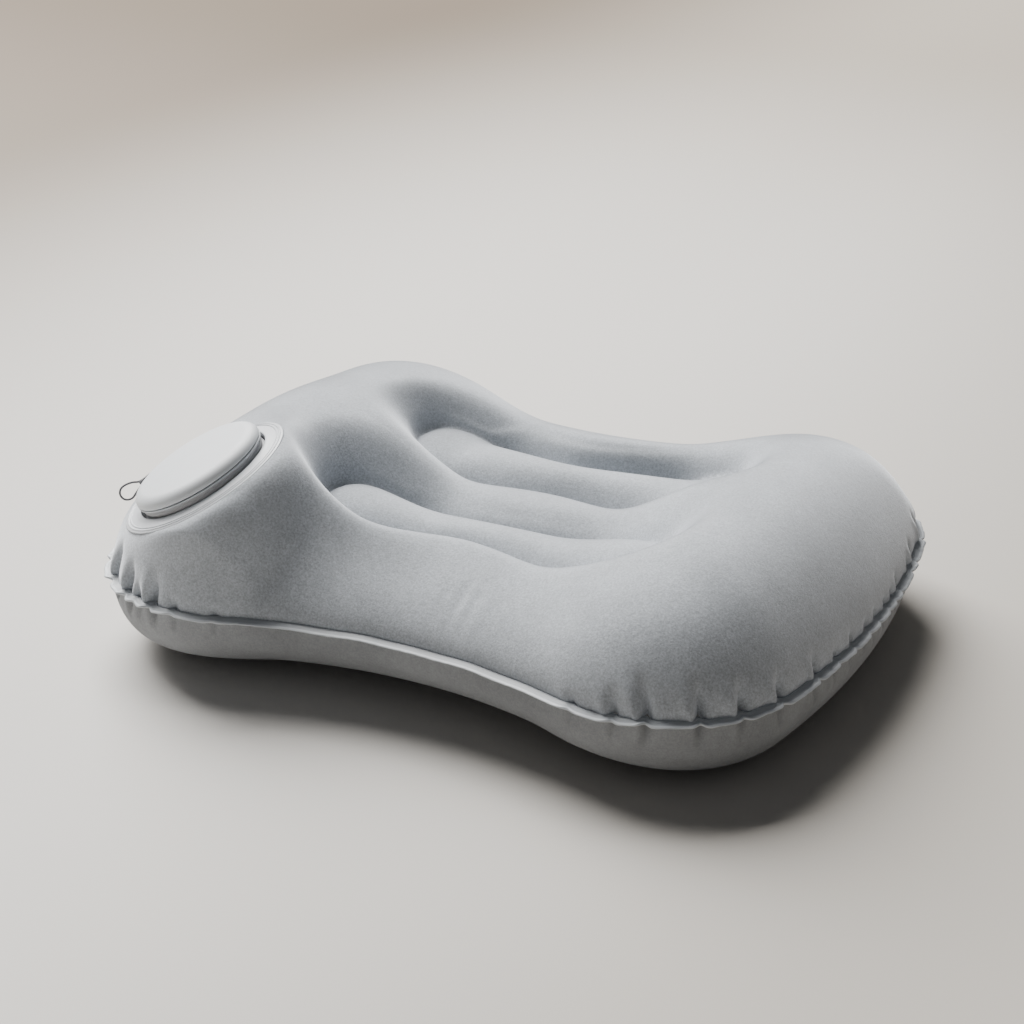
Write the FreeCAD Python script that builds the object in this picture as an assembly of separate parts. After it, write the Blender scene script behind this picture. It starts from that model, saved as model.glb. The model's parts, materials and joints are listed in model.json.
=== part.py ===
"""Inflatable camp pillow with a built-in press pump.

Millimetres, +Z up. The origin is the centre of the pillow's footprint, on the ground.
+X runs along the long side, and the pump sits on the lobe at -X, towards -Y.
"""
import FreeCAD
import Part
import math
import os

Vector = FreeCAD.Vector

# ---- Plan of the pillow: tangent arcs, all measured to the edge of the inflated sheets ----
HALF_LENGTH = 207.0        # centre to the middle of an end
HALF_WIDTH = 161.5         # centre line to the widest place on a lobe
HALF_WAIST = 141.0         # centre line to the edge at the waist
CORNER_RADIUS = 76.0
WAIST_RADIUS = 300.0       # concave arc at the waist
HEM_GAP = 0.3              # inflated sheet to the hem
HEM_WIDTH = 6.0            # flat welded hem outside the sheets
HEM_THICKNESS = 1.2

# ---- Heights above and below the weld plane ----
WELD_HEIGHT = 45.0         # weld plane above the ground
SHEET = 0.8                # thickness of the flocked sheet
UPPER_MIDDLE = 44.0
UPPER_LOBE = 98.0
UPPER_BLEND = (45.0, 180.0)      # where the middle's crown turns into the lobes
UPPER_POWER = 2.55
UPPER_ROOT = 1.6
LOWER_MIDDLE = 40.7
LOWER_BLEND = (70.0, 190.0)
LOWER_LOBE = 60.0          # deeper than the weld height, so the lobes rest on flat feet
LOWER_POWER = 3.64
LOWER_ROOT = 3.15

# ---- Cradle for the head: two leaf-shaped ribs, each between two tied grooves ----
CRADLE_MIDDLE = 7.0              # the cradle sits this far from the centre, away from the pump
CRADLE_DIP = 15.0
CRADLE_HALF = (32.0, 35.0)       # full dip inside this half length and half width
CRADLE_END = (100.0, 78.0)       # no dip outside this
LEAF_LENGTH = 100.0              # the cradle's middle to the rounded end of a leaf
LEAF_PLACE = (48.0, 52.0)        # its middle line's distance from the centre line: middle, ends
LEAF_HALF = (20.0, 27.0)         # its half width: middle, ends
LEAF_CHANGE = 62.0               # where the end values are reached
LEAF_CREST = (29.0, 42.0)        # above the weld plane: middle, ends
LEAF_CLIMB = (30.0, 105.0)       # where the front leaf's crest climbs
REAR_CLIMB = (66.0, 108.0)       # where the rear leaf's crest climbs
GROOVE_BOTTOM = (14.0, 32.0)     # above the weld plane: middle, ends
GROOVE_CLIMB = (42.0, 96.0)
LEAF_REACH = 24.0                # turns leaf units outside the groove into millimetres
GROOVE_BANK = (26.0, 16.0)       # width of the groove's bank: towards the middle, outwards
RIM_LIFT = 7.0                   # the rim in front of the cradle stands this much higher
RIM_PLACE = (-50.0, -94.0)
RIM_SPREAD = (45.0, 17.0)
WEB_THICKNESS = 0.6
WEB_HALF_LENGTH = 86.0
WEB_GAP = 0.4

# ---- Press pump: heights along its axis are measured from the outside of the sheet ----
PUMP_CENTRE = Vector(-140.0, -102.5, WELD_HEIGHT + 50.6)
PUMP_AXIS = Vector(-0.415, -0.252, 0.874)
PUMP_AXIS.normalize()
PUMP_FLAT_RADIUS = 58.0          # the sheet is flat round the pump inside this
PUMP_BLEND_RADIUS = 84.0
PUMP_ROLL = 5.0                  # how soon the plane's slope levels off outside the flat
PUMP_KEEP_OFF = 0.6              # the rise to the pump starts this far from a groove, in leaf units
PUMP_FLAT_EDGE = 0.98            # share of the plan's radius where the flat ends
PUMP_LIFT = 4.5                  # the lobe stands this much higher behind the pump
PUMP_LIFT_PLACE = (-146.0, -10.0)
PUMP_LIFT_SPREAD = (42.0, 75.0)
CUP_BORE = 39.2
CUP_WALL = 1.0
CUP_DEPTH = 26.0
CUP_FLOOR = 1.6
CUP_FLANGE = (-2.2, -1.2)
CUP_FLANGE_RADIUS = 47.5
LEDGE = (-11.2, -10.0)
COLLAR = (0.15, 1.35)
COLLAR_RADIUS = 48.5
WELD_LINES = (46.0, 47.7)        # the two raised weld lines on the collar
WELD_BEAD = 0.45                 # their radius in section
CAP_RADIUS = 38.4
CAP_BOTTOM = 6.4
CAP_TOP = 13.5
CAP_EDGE = 5.5                   # rounding at the cap's shoulder
CAP_CROWN = 1.2                  # how far the middle stands above the shoulder
CAP_WALL = 1.4
SNAP_WALL = (33.0, 34.2)
SNAP_BOTTOM = 3.6
CAP_RING = (4.8, 5.9)
BELLOWS = (36.2, 36.8)
FOAM_RADIUS = 32.0
FOAM_BORE = 12.0
PLATE = (4.2, 5.4)
FLAP_RADIUS = 9.0
FLAP_THICKNESS = 0.8
FLAP_GAP = 0.3
VALVE_BORE = 5.0
CAGE_RADII = (10.0, 11.2)
CAGE_DEPTH = 4.2

# ---- Release plug in the collar, and its pull loop ----
PLUG_ANGLE = -25.0               # round the pump axis, from the outboard side
PLUG_CIRCLE = 44.4               # distance of the plug's axis from the pump axis
PORT_RADII = (2.8, 3.4)
PORT = (-9.0, 1.9)
PLUG_STEM = 2.4
PLUG_HEAD = 3.5
PLUG_HEAD_HEIGHTS = (2.2, 3.8)
PLUG_BOTTOM = -7.0
BOSS = (2.2, 6.8)                # radius and top of the boss that holds the cord's two ends
SEAL_HEIGHT = -4.0
CORD_DIAMETER = 1.2
CRIMP = (1.5, 3.4)               # radius and length
# The loop's route: out of the boss, through the crimp, round the loop and back.
CORD_ROUTE = (
    (-179.2, -81.1, 89.7),
    (-185.4, -87.4, 85.6),
    (-190.2, -93.7, 80.1),
    (-194.3, -96.4, 80.4),
    (-198.6, -100.4, 78.1),
    (-198.7, -102.6, 74.5),
    (-195.6, -102.5, 71.5),
    (-191.8, -100.1, 71.9),
    (-190.7, -97.3, 75.2),
    (-189.0, -93.5, 79.2),
    (-184.1, -87.2, 84.7),
    (-178.1, -81.1, 88.5),
)


def smooth(value):
    """Ramp from 0 to 1 with level ends."""
    value = min(max(value, 0.0), 1.0)
    return value * value * (3.0 - 2.0 * value)


def plan_arcs(grow):
    """Centres and radii of the outline's arcs, with the outline moved outwards by grow."""
    corner = CORNER_RADIUS + grow
    waist = WAIST_RADIUS - grow
    corner_y = HALF_WIDTH - CORNER_RADIUS
    waist_y = HALF_WAIST + WAIST_RADIUS
    corner_x = math.sqrt((WAIST_RADIUS + CORNER_RADIUS) ** 2 - (waist_y - corner_y) ** 2)
    reach = HALF_LENGTH - CORNER_RADIUS
    end_x = (reach ** 2 - corner_x ** 2 - corner_y ** 2) / (2.0 * (reach - corner_x))
    return (corner_x, corner_y, corner), (end_x, HALF_LENGTH - end_x + grow), (waist_y, waist)


def plan_radius(angle):
    """Distance from the centre to the edge of the sheets in one direction."""
    (corner_x, corner_y, corner), (end_x, end), (waist_y, waist) = plan_arcs(0.0)
    c, s = abs(math.cos(angle)), abs(math.sin(angle))
    end_turn = math.atan2(corner_y, corner_x - end_x)
    end_point = (end_x + end * math.cos(end_turn), end * math.sin(end_turn))
    waist_turn = math.atan2(waist_y - corner_y, corner_x)
    waist_point = (waist * math.cos(waist_turn), waist_y - waist * math.sin(waist_turn))
    if s * end_point[0] < c * end_point[1]:
        centre_x, centre_y, radius, sign = end_x, 0.0, end, 1.0
    elif s * waist_point[0] < c * waist_point[1]:
        centre_x, centre_y, radius, sign = corner_x, corner_y, corner, 1.0
    else:
        centre_x, centre_y, radius, sign = 0.0, waist_y, waist, -1.0
    along = centre_x * c + centre_y * s
    square = along ** 2 - centre_x ** 2 - centre_y ** 2 + radius ** 2
    return along + sign * math.sqrt(square)


def plan_wire(grow):
    """Closed outline of arcs at the weld plane's height."""
    (corner_x, corner_y, corner), (end_x, end), (waist_y, waist) = plan_arcs(grow)
    end_turn = math.atan2(corner_y, corner_x - end_x)
    waist_turn = math.atan2(waist_y - corner_y, corner_x)

    def at(x, y, radius, turn):
        return Vector(x + radius * math.cos(turn), y + radius * math.sin(turn), WELD_HEIGHT)

    join = at(end_x, 0.0, end, end_turn)
    top = at(corner_x, corner_y, corner, math.pi - waist_turn)
    middle = at(corner_x, corner_y, corner, 0.5 * (end_turn + math.pi - waist_turn))
    quarter = [join, middle, top]
    waist_middle = Vector(0.0, waist_y - waist, WELD_HEIGHT)
    end_middle = Vector(end_x + end, 0.0, WELD_HEIGHT)

    def flip(point, x, y):
        return Vector(point.x * x, point.y * y, point.z)

    edges = []
    for x in (1, -1):
        a, b = flip(join, x, -1), flip(join, x, 1)
        edges.append(Part.Arc(a, flip(end_middle, x, 1), b).toShape())
        for y in (1, -1):
            a, b, c = (flip(point, x, y) for point in quarter)
            edges.append(Part.Arc(a, b, c).toShape())
    for y in (1, -1):
        a, b = flip(top, 1, y), flip(top, -1, y)
        edges.append(Part.Arc(a, flip(waist_middle, 1, y), b).toShape())
    return Part.Wire(Part.__sortEdges__(edges))


def ramp(value, span, ends=(0.0, 1.0)):
    """Smooth ramp over a span from one end value to the other."""
    return ends[0] + (ends[1] - ends[0]) * smooth((value - span[0]) / (span[1] - span[0]))


def bump(x, y, place, spread):
    """Smooth hump, 1 at its place and fading over its spread."""
    return math.exp(-((x - place[0]) / spread[0]) ** 2 - ((y - place[1]) / spread[1]) ** 2)


def leaf_line(x):
    """Distance of a leaf's middle line from the centre line at x, and its half width."""
    change = smooth(abs(x - CRADLE_MIDDLE) / LEAF_CHANGE)
    place = LEAF_PLACE[0] + (LEAF_PLACE[1] - LEAF_PLACE[0]) * change
    half = LEAF_HALF[0] + (LEAF_HALF[1] - LEAF_HALF[0]) * change
    return place, half


def groove_place(name, x):
    """Distance of the inner or outer groove from the centre line at x."""
    place, half = leaf_line(x)
    half *= math.sqrt(1.0 - (abs(x - CRADLE_MIDDLE) / LEAF_LENGTH) ** 6)
    return place - half if name == "inner" else place + half


def leaf_share(x, y):
    """0 on a leaf's middle line and 1 on the groove round it, and the signed share across."""
    place, half = leaf_line(x)
    aside = (abs(y) - place) / half
    return math.sqrt(aside ** 2 + (abs(x - CRADLE_MIDDLE) / LEAF_LENGTH) ** 6), aside


def cradle_height(x, y, height):
    """The crown's height with the cradle's dip, grooves and leaves worked into it."""
    away = abs(x - CRADLE_MIDDLE)
    along = 1.0 - ramp(away, (CRADLE_HALF[0], CRADLE_END[0]))
    across = 1.0 - ramp(abs(y), (CRADLE_HALF[1], CRADLE_END[1]))
    height -= CRADLE_DIP * along * across
    bottom = ramp(away, GROOVE_CLIMB, GROOVE_BOTTOM)
    crest = ramp(away, LEAF_CLIMB if y < 0.0 else REAR_CLIMB, LEAF_CREST)
    q, aside = leaf_share(x, y)
    if q < 1.0:
        return bottom + (crest - bottom) * (1.0 - q ** 2.4)
    bank = GROOVE_BANK[0] + (GROOVE_BANK[1] - GROOVE_BANK[0]) * smooth(0.5 * (aside + 1.0))
    near = max(1.0 - (q - 1.0) * LEAF_REACH / bank, 0.0) ** 2
    return height + (bottom - height) * near


def pump_plane(x, y):
    """Height above the weld plane of the plane that the pump's collar lies on."""
    lean_x, lean_y = PUMP_AXIS.x / PUMP_AXIS.z, PUMP_AXIS.y / PUMP_AXIS.z
    level = PUMP_CENTRE.z - WELD_HEIGHT
    return level - lean_x * (x - PUMP_CENTRE.x) - lean_y * (y - PUMP_CENTRE.y)


def pump_brim(x, y, away):
    """The pump's plane inside the flat, and its edge's height, levelling off, outside."""
    if away <= PUMP_FLAT_RADIUS:
        return pump_plane(x, y)
    inward = PUMP_FLAT_RADIUS / away
    edge = pump_plane(PUMP_CENTRE.x + (x - PUMP_CENTRE.x) * inward,
                      PUMP_CENTRE.y + (y - PUMP_CENTRE.y) * inward)
    slope = (edge - PUMP_CENTRE.z + WELD_HEIGHT) / PUMP_FLAT_RADIUS
    return edge + slope * PUMP_ROLL * (1.0 - math.exp((PUMP_FLAT_RADIUS - away) / PUMP_ROLL))


def upper_height(x, y, r):
    """Height of the upper sheet above the weld plane."""
    crown = ramp(abs(x - CRADLE_MIDDLE), UPPER_BLEND, (UPPER_MIDDLE, UPPER_LOBE))
    edge = max(1.0 - r ** UPPER_POWER, 0.0) ** (1.0 / UPPER_ROOT)
    inside = 1.0 - r ** 4
    height = crown * edge + RIM_LIFT * bump(x, y, RIM_PLACE, RIM_SPREAD) * inside
    height = cradle_height(x, y, height)
    height += PUMP_LIFT * bump(x, y, PUMP_LIFT_PLACE, PUMP_LIFT_SPREAD) * inside
    rise = pump_plane(x, y) - PUMP_CENTRE.z + WELD_HEIGHT
    away = math.sqrt((x - PUMP_CENTRE.x) ** 2 + (y - PUMP_CENTRE.y) ** 2 + rise ** 2)
    share = 1.0 - ramp(away, (PUMP_FLAT_RADIUS, PUMP_BLEND_RADIUS))
    share *= 1.0 - ramp(r, (PUMP_FLAT_EDGE, 1.0))
    if away > PUMP_FLAT_RADIUS:
        share *= smooth((leaf_share(x, y)[0] - 1.0) / PUMP_KEEP_OFF)
    return height + (pump_brim(x, y, away) - height) * share


def lower_height(x, y, r):
    """Height of the lower sheet below the weld plane, before the ground flattens it."""
    crown = ramp(abs(x), LOWER_BLEND, (LOWER_MIDDLE, LOWER_LOBE))
    edge = max(1.0 - r ** LOWER_POWER, 0.0) ** (1.0 / LOWER_ROOT)
    return -crown * edge


def sheet_face(height, inset, down):
    """Smooth face over the whole plan: rings of control points, shrunk by inset."""
    rings, spokes, degree = 24, 96, 3
    poles = []
    for ring in range(rings + 1):
        r = 1.0 - (1.0 - ring / rings) ** 1.5
        row = []
        for spoke in range(spokes):
            angle = 2.0 * math.pi * spoke / spokes
            edge = plan_radius(angle)
            x, y = r * edge * math.cos(angle), r * edge * math.sin(angle)
            z = height(x, y, r)
            shrink = (edge - inset) / edge
            z -= down * inset * smooth((1.0 - r) / 0.03)
            row.append(Vector(x * shrink, y * shrink, WELD_HEIGHT + z))
        poles.append(row)
    ring_knots = [float(n) for n in range(rings - degree + 2)]
    ring_mults = [degree + 1] + [1] * (len(ring_knots) - 2) + [degree + 1]
    spoke_knots = [float(n) for n in range(spokes + 1)]
    spoke_mults = [1] * (spokes + 1)
    surface = Part.BSplineSurface()
    surface.buildFromPolesMultsKnots(poles, ring_mults, spoke_mults, ring_knots, spoke_knots,
                                     False, True, degree, degree)
    return surface.toShape()


def rim_wire(face):
    """The face's edge that lies in the weld plane."""
    def level(edge):
        box = edge.BoundBox
        return abs(box.ZMin - WELD_HEIGHT) + abs(box.ZMax - WELD_HEIGHT)
    edges = [edge for edge in face.Edges if edge.Length > 100.0]
    return Part.Wire([min(edges, key=level)])


def closed(faces):
    """One solid from faces that meet at their edges."""
    shell = Part.Shell(faces)
    shell.sewShape()
    solid = Part.Solid(shell)
    if solid.Volume < 0:
        solid.reverse()
    return solid


def upper_half(inset):
    """Everything under the upper sheet, pulled in by inset."""
    face = sheet_face(upper_height, inset, 1.0)
    return closed([face, Part.Face(rim_wire(face))])


def lower_half(inset):
    """Everything over the lower sheet, pulled in by inset and flat on the ground."""
    face = sheet_face(lower_height, inset, -1.0)
    ground = Part.makeBox(500.0, 400.0, 50.0, Vector(-250.0, -200.0, inset - 50.0))
    return closed([face, Part.Face(rim_wire(face))]).cut(ground)


# ---- Pump coordinates ----
OUTBOARD = Vector(-1.0, 0.0, 0.0) - PUMP_AXIS * Vector(-1.0, 0.0, 0.0).dot(PUMP_AXIS)
OUTBOARD.normalize()
ASIDE = PUMP_AXIS.cross(OUTBOARD)


def on_pump(height, radius=0.0, angle=0.0):
    """Point at a height along the pump axis, a radius from it and an angle round it."""
    turn = math.radians(angle)
    return (PUMP_CENTRE + PUMP_AXIS * height + OUTBOARD * (radius * math.cos(turn))
            + ASIDE * (radius * math.sin(turn)))


def disc(radius, low, high, at_radius=0.0, angle=0.0):
    """Cylinder along the pump axis between two heights."""
    return Part.makeCylinder(radius, high - low, on_pump(low, at_radius, angle), PUMP_AXIS)


def tube(inner, outer, low, high, at_radius=0.0, angle=0.0):
    """Ring along the pump axis between two heights."""
    body = disc(outer, low, high, at_radius, angle)
    return body.cut(disc(inner, low - 1.0, high + 1.0, at_radius, angle))


def turned(profile):
    """Solid of revolution about the pump axis from (radius, height) corner points."""
    points = [on_pump(height, radius) for radius, height in profile]
    face = Part.Face(Part.makePolygon(points + points[:1]))
    return face.revolve(PUMP_CENTRE, PUMP_AXIS, 360.0)


# ---- Sub-parts of the pillow body ----
def make_upper_shell():
    sheet = upper_half(0.0).cut(upper_half(SHEET))
    sheet = sheet.cut(disc(CUP_BORE + CUP_WALL + 0.3, -12.0, 12.0))
    return sheet.cut(disc(PORT_RADII[1] + 0.3, -8.0, 8.0, PLUG_CIRCLE, PLUG_ANGLE))


def make_lower_shell():
    return lower_half(0.0).cut(lower_half(SHEET))


def make_perimeter_weld():
    ring = Part.Face(plan_wire(HEM_WIDTH)).cut(Part.Face(plan_wire(HEM_GAP)))
    ring.translate(Vector(0.0, 0.0, -0.5 * HEM_THICKNESS))
    return ring.extrude(Vector(0.0, 0.0, HEM_THICKNESS))


def make_web(name, side, space):
    """Upright strip that ties a groove to the lower sheet."""
    steps = 6
    points = []
    for step in range(-steps, steps + 1):
        x = CRADLE_MIDDLE + WEB_HALF_LENGTH * step / steps
        points.append(Vector(x, side * groove_place(name, x), 0.0))
    line = Part.BSplineCurve()
    line.interpolate(points)
    half = 0.5 * WEB_THICKNESS
    low, high = [], []
    for point in points:
        slope = line.tangent(line.parameter(point))[0]
        normal = Vector(-slope.y, slope.x, 0.0) * half
        low.append(point - normal)
        high.append(point + normal)
    edges = []
    for row in (low, high):
        curve = Part.BSplineCurve()
        curve.interpolate(row)
        edges.append(curve.toShape())
    edges.append(Part.makeLine(low[0], high[0]))
    edges.append(Part.makeLine(low[-1], high[-1]))
    strip = Part.Face(Part.Wire(Part.__sortEdges__(edges)))
    strip = strip.extrude(Vector(0.0, 0.0, 2.5 * WELD_HEIGHT))
    return strip.common(space)


# ---- Sub-parts of the pump ----
def make_pump_weld_ring():
    low, high = COLLAR
    bore = CUP_BORE + CUP_WALL + 0.3
    body = tube(bore, COLLAR_RADIUS, low, high)
    for radius in WELD_LINES:
        bead = Part.makeTorus(radius, WELD_BEAD, on_pump(high), PUMP_AXIS)
        body = body.fuse(bead.common(disc(COLLAR_RADIUS, high - 0.3, high + 1.0)))
    return body.cut(disc(PORT_RADII[1] + 0.1, low - 1.0, high + 2.0, PLUG_CIRCLE, PLUG_ANGLE))


def make_pump_base():
    outer = CUP_BORE + CUP_WALL
    low, high = CUP_FLANGE
    body = turned([(0.0, -CUP_DEPTH), (outer, -CUP_DEPTH), (outer, low), (CUP_FLANGE_RADIUS, low),
                   (CUP_FLANGE_RADIUS, high), (outer, high), (outer, COLLAR[1]),
                   (CUP_BORE, COLLAR[1]), (CUP_BORE, LEDGE[1]), (CUP_BORE - 4.0, LEDGE[1]),
                   (CUP_BORE - 4.0, LEDGE[0]), (CUP_BORE, LEDGE[0]),
                   (CUP_BORE, CUP_FLOOR - CUP_DEPTH), (0.0, CUP_FLOOR - CUP_DEPTH)])
    body = body.cut(disc(VALVE_BORE, -CUP_DEPTH - 1.0, -CUP_DEPTH + 5.0))
    return body.cut(disc(PORT_RADII[1] + 0.1, low - 1.0, high + 1.0, PLUG_CIRCLE, PLUG_ANGLE))


def make_pump_foam():
    return tube(FOAM_BORE, FOAM_RADIUS, CUP_FLOOR - CUP_DEPTH + 0.2, PLATE[0] - 0.1)


def make_pump_bellows():
    return tube(BELLOWS[0], BELLOWS[1], LEDGE[1] + 0.05, CAP_RING[0] - 0.05)


def cap_form(radius, shoulder, bottom):
    """Disc with a rounded shoulder and a slightly domed top, from a bottom height up."""
    level = radius - CAP_EDGE
    turn = math.radians(45.0)
    rim = on_pump(shoulder, radius)
    bend = on_pump(shoulder + CAP_EDGE * math.sin(turn), level + CAP_EDGE * math.cos(turn))
    flat = on_pump(shoulder + CAP_EDGE, level)
    ball = (level ** 2 + CAP_CROWN ** 2) / (2.0 * CAP_CROWN)
    rise = math.sqrt(ball ** 2 - 0.25 * level ** 2) - ball + CAP_CROWN
    half_way = on_pump(shoulder + CAP_EDGE + rise, 0.5 * level)
    peak = on_pump(shoulder + CAP_EDGE + CAP_CROWN)
    base = on_pump(bottom)
    foot = on_pump(bottom, radius)
    edges = [Part.makeLine(foot, rim), Part.Arc(rim, bend, flat).toShape(),
             Part.Arc(flat, half_way, peak).toShape(), Part.makeLine(peak, base),
             Part.makeLine(base, foot)]
    return Part.Face(Part.Wire(edges)).revolve(PUMP_CENTRE, PUMP_AXIS, 360.0)


def make_pump_cap():
    shoulder = CAP_TOP - CAP_EDGE - CAP_CROWN
    outer = cap_form(CAP_RADIUS, shoulder, CAP_BOTTOM)
    body = outer.cut(cap_form(CAP_RADIUS - CAP_WALL, shoulder - CAP_WALL, SNAP_BOTTOM))
    wall = tube(SNAP_WALL[0], SNAP_WALL[1], SNAP_BOTTOM, CAP_TOP)
    wall = wall.common(outer.fuse(disc(CAP_RADIUS, SNAP_BOTTOM, CAP_BOTTOM)))
    for angle in range(0, 360, 60):
        outward = on_pump(0.0, 1.0, angle) - PUMP_CENTRE
        wall = wall.cut(Part.makeCylinder(0.9, 5.0, on_pump(7.4, 31.0, angle), outward))
    return body.fuse(wall).removeSplitter()


def make_cap_ring():
    return tube(SNAP_WALL[1] + 0.1, CAP_RADIUS, CAP_RING[0], CAP_RING[1])


def make_intake_plate():
    plate = disc(SNAP_WALL[0] - 0.1, PLATE[0], PLATE[1])
    for angle in range(0, 360, 90):
        plate = plate.cut(disc(2.0, PLATE[0] - 1.0, PLATE[1] + 1.0, 5.0, angle))
    return plate


def make_flap(top):
    """Soft disc whose upper face lies FLAP_GAP under the seat at height top."""
    return disc(FLAP_RADIUS, top - FLAP_GAP - FLAP_THICKNESS, top - FLAP_GAP)


def make_outlet_cage():
    top = -CUP_DEPTH - 0.05
    bottom = top - CAGE_DEPTH
    body = tube(CAGE_RADII[0], CAGE_RADII[1], bottom, top)
    body = body.fuse(disc(CAGE_RADII[1], bottom - 1.2, bottom))
    for angle in range(0, 360, 72):
        body = body.cut(disc(2.2, bottom - 2.0, bottom + 1.0, 6.2, angle))
    return body


# ---- Release plug ----
def make_release_port():
    body = tube(PORT_RADII[0], PORT_RADII[1], PORT[0], PORT[1], PLUG_CIRCLE, PLUG_ANGLE)
    return body


def make_release_plug():
    low, high = PLUG_HEAD_HEIGHTS
    stem = disc(PLUG_STEM, PLUG_BOTTOM, low, PLUG_CIRCLE, PLUG_ANGLE)
    groove = tube(PLUG_STEM - 0.6, PLUG_STEM + 1.0, SEAL_HEIGHT - 0.6, SEAL_HEIGHT + 0.6,
                  PLUG_CIRCLE, PLUG_ANGLE)
    head = disc(PLUG_HEAD, low, high, PLUG_CIRCLE, PLUG_ANGLE)
    boss = disc(BOSS[0], high, BOSS[1], PLUG_CIRCLE, PLUG_ANGLE)
    return stem.cut(groove).fuse([head, boss]).removeSplitter()


def make_plug_seal():
    return tube(PLUG_STEM - 0.55, PORT_RADII[0] - 0.04, SEAL_HEIGHT - 0.5, SEAL_HEIGHT + 0.5,
                PLUG_CIRCLE, PLUG_ANGLE)


def cord_path(points):
    """Straight runs joined by arcs, each as large as its two runs allow."""
    edges, radii = [], []
    last = points[0]
    for before, point, after in zip(points, points[1:], points[2:]):
        back, ahead = before - point, after - point
        run = min(back.Length, ahead.Length)
        back.normalize()
        ahead.normalize()
        half_turn = 0.5 * (math.pi - back.getAngle(ahead))
        radius = 0.45 * run / math.tan(half_turn)
        inward = back + ahead
        inward.normalize()
        start, end = point + back * (0.45 * run), point + ahead * (0.45 * run)
        middle = point + inward * (radius / math.cos(half_turn) - radius)
        edges.append(Part.LineSegment(last, start).toShape())
        edges.append(Part.Arc(start, middle, end).toShape())
        radii.append(radius)
        last = end
    edges.append(Part.LineSegment(last, points[-1]).toShape())
    return Part.Wire(edges), radii


def make_pull_loop():
    points = [Vector(*point) for point in CORD_ROUTE]
    path, radii = cord_path(points)
    print("cord length", round(path.Length, 1), "radii", [round(radius, 1) for radius in radii])
    section = Part.Circle(points[0], points[1] - points[0], 0.5 * CORD_DIAMETER).toShape()
    return path.makePipeShell([Part.Wire([section])], True, True)


def make_loop_crimp():
    points = [Vector(*point) for point in CORD_ROUTE]
    near = (points[1] + points[-2]) * 0.5
    centre = (points[2] + points[-3]) * 0.5
    along = centre - near
    along.normalize()
    return Part.makeCylinder(CRIMP[0], CRIMP[1], centre - along * (0.7 * CRIMP[1]), along)


def make_all():
    space = upper_half(SHEET + WEB_GAP).fuse(lower_half(SHEET + WEB_GAP))
    nodes = {
        "upper_shell": make_upper_shell(),
        "lower_shell": make_lower_shell(),
        "perimeter_weld": make_perimeter_weld(),
        "pump_weld_ring": make_pump_weld_ring(),
        "pump_base": make_pump_base(),
        "pump_foam": make_pump_foam(),
        "pump_bellows": make_pump_bellows(),
        "pump_cap": make_pump_cap(),
        "cap_ring": make_cap_ring(),
        "intake_plate": make_intake_plate(),
        "intake_flap": make_flap(PLATE[0]),
        "outlet_flap": make_flap(-CUP_DEPTH),
        "outlet_cage": make_outlet_cage(),
        "release_port": make_release_port(),
        "release_plug": make_release_plug(),
        "plug_seal": make_plug_seal(),
        "pull_loop": make_pull_loop(),
        "loop_crimp": make_loop_crimp(),
    }
    for name in ("inner", "outer"):
        for word, side in (("front", -1.0), ("rear", 1.0)):
            nodes[f"{word}_{name}_web"] = make_web(name, side, space)
    return nodes


os.makedirs("parts", exist_ok=True)
for node, shape in make_all().items():
    shape.exportStep(f"parts/{node}.step")
    print(node, "valid" if shape.isValid() else "NOT VALID", "solids", len(shape.Solids),
          "volume", round(shape.Volume, 1))
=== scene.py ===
"""Looks of the camp pillow: flocked sheets, welded hem, press pump and pull loop.

The shape functions work in millimetres with the weld plane at z = 0; meshes are in metres.
"""
import json
import math

import bmesh
import bpy
import numpy as np
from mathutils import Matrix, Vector


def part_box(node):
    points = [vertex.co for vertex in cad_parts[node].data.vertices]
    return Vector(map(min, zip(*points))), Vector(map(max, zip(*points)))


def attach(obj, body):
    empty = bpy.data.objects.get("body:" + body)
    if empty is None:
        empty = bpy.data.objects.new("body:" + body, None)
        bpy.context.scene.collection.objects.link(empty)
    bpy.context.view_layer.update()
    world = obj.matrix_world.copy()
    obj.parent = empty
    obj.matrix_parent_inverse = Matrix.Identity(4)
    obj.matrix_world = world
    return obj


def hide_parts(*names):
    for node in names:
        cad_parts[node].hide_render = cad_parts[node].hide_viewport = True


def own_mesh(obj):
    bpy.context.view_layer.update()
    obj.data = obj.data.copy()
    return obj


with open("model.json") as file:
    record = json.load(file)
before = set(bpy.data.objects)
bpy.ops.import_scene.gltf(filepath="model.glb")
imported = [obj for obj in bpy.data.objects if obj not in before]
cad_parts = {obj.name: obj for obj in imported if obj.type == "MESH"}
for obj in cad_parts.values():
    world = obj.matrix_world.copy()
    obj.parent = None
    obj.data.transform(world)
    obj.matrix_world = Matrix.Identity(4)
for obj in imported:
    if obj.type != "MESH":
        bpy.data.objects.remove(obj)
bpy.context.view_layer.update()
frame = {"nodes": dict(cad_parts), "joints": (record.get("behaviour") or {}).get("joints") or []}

MM = 0.001

# ---- Places read from the frame ----
sheet_low, sheet_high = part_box("upper_shell")
hem_low, hem_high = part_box("perimeter_weld")
WELD = 0.5 * (hem_low.z + hem_high.z) / MM          # weld plane above the ground
HALF_LENGTH = 0.5 * (sheet_high.x - sheet_low.x) / MM
JOINT_AXES = {joint["name"]: Vector(joint["axis"]) for joint in frame["joints"]}
PUMP_AXIS = np.array(-JOINT_AXES["pad_press"].normalized())
RING_LOW, RING_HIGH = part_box("cap_ring")
RING_HEIGHT = 5.35                                  # cap ring's middle above the sheet
PUMP_CENTRE = np.array((RING_LOW + RING_HIGH) * (0.5 / MM)) - PUMP_AXIS * RING_HEIGHT
PUMP_CENTRE[2] -= WELD
OUTBOARD = np.array((-1.0, 0.0, 0.0)) + PUMP_AXIS * PUMP_AXIS[0]
OUTBOARD /= np.linalg.norm(OUTBOARD)
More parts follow.
